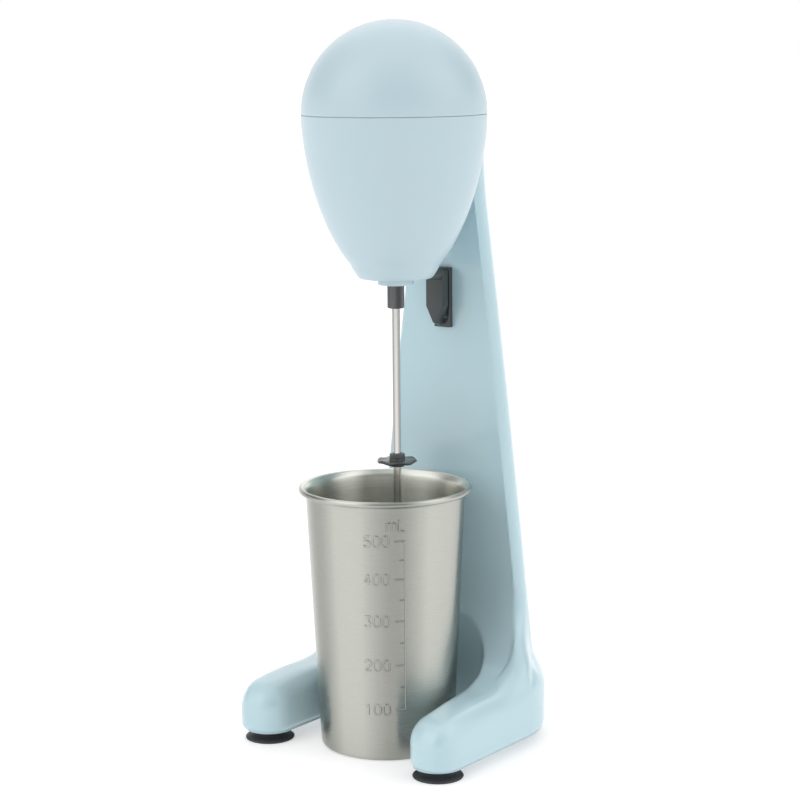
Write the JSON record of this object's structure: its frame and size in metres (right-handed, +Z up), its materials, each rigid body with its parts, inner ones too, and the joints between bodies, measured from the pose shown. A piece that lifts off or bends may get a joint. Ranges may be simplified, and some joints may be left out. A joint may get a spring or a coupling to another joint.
{
  "type": "milkshake mixer",
  "caption": "Milkshake mixer: egg-shaped motor head on a tapered column with two legs, a pull-off spindle with mixing discs, a rocker switch and a graduated steel cup.",
  "frame": {"origin": "bottom centre of the bounding box, on the table, with the spindle axis 6.3 mm in front of it", "axes": "+Z up, the user stands at -Y, +X to the user's right"},
  "size_m": [0.139, 0.1254, 0.3804],
  "materials": {
    "blue_plastic": "gloss",
    "plate_plastic": "satin",
    "rubber": "matt",
    "black_plastic": "satin",
    "cup_steel": "brushed",
    "polished_steel": "polished",
    "zinc_steel": "zinc plated",
    "bronze": "sintered",
    "copper": "satin",
    "carbon": "matt",
    "ferrite": "matt",
    "board": "satin"
  },
  "bodies": {
    "stand": {"stand_housing": "blue_plastic", "back_cover": "blue_plastic", "motor_housing": "blue_plastic", "dome_cover": "blue_plastic", "collar_bush": "blue_plastic", "base_plate": "plate_plastic", "foot_front_right": "rubber", "foot_front_left": "rubber", "foot_rear_right": "rubber", "foot_rear_left": "rubber", "cord_inlet_grommet": "rubber", "base_screw_front_right": "zinc_steel", "base_screw_front_left": "zinc_steel", "base_screw_rear_right": "zinc_steel", "base_screw_rear_left": "zinc_steel", "cover_screw_top": "zinc_steel", "cover_screw_lower_right": "zinc_steel", "cover_screw_lower_left": "zinc_steel", "head_screw_upper": "zinc_steel", "head_screw_lower": "zinc_steel", "motor_screw_right": "zinc_steel", "motor_screw_left": "zinc_steel", "motor_mount": "zinc_steel", "motor_can": "zinc_steel", "switch_pivot_pin": "zinc_steel", "motor_end_cap": "black_plastic", "switch_bezel": "black_plastic", "switch_body": "black_plastic", "capacitor": "black_plastic", "terminal_block": "black_plastic", "upper_bearing": "bronze", "lower_bearing": "bronze", "brush_right": "carbon", "brush_left": "carbon", "magnet_right": "ferrite", "magnet_left": "ferrite", "rectifier_board": "board"},
    "rotor": {"motor_shaft": "polished_steel", "armature": "copper", "commutator": "copper", "cooling_fan": "black_plastic", "drive_coupling": "black_plastic"},
    "spindle": {"spindle_rod": "polished_steel", "mixing_disc_upper": "black_plastic", "mixing_disc_lower": "black_plastic"},
    "switch_paddle": {"switch_paddle": "black_plastic"},
    "cup": {"cup": "cup_steel"}
  },
  "joints": [
    {"name": "motor_spin", "type": "hinge", "parent": "stand", "child": "rotor", "pos_m": [0, -0.00632, 0.25], "axis": [0, 0, 1], "continuous": true},
    {"name": "spindle_pull_off", "type": "slide", "parent": "rotor", "child": "spindle", "axis": [0, 0, -1], "range_m": [0, 0.012]},
    {"name": "switch_rock", "type": "hinge", "parent": "stand", "child": "switch_paddle", "pos_m": [0, 0.04297, 0.2333], "axis": [1, 0, 0], "range_deg": [-5, 5]},
    {"name": "cup_lift", "type": "slide", "parent": "stand", "child": "cup", "axis": [0, 0, 1], "range_m": [0, 0.012]}
  ]
}
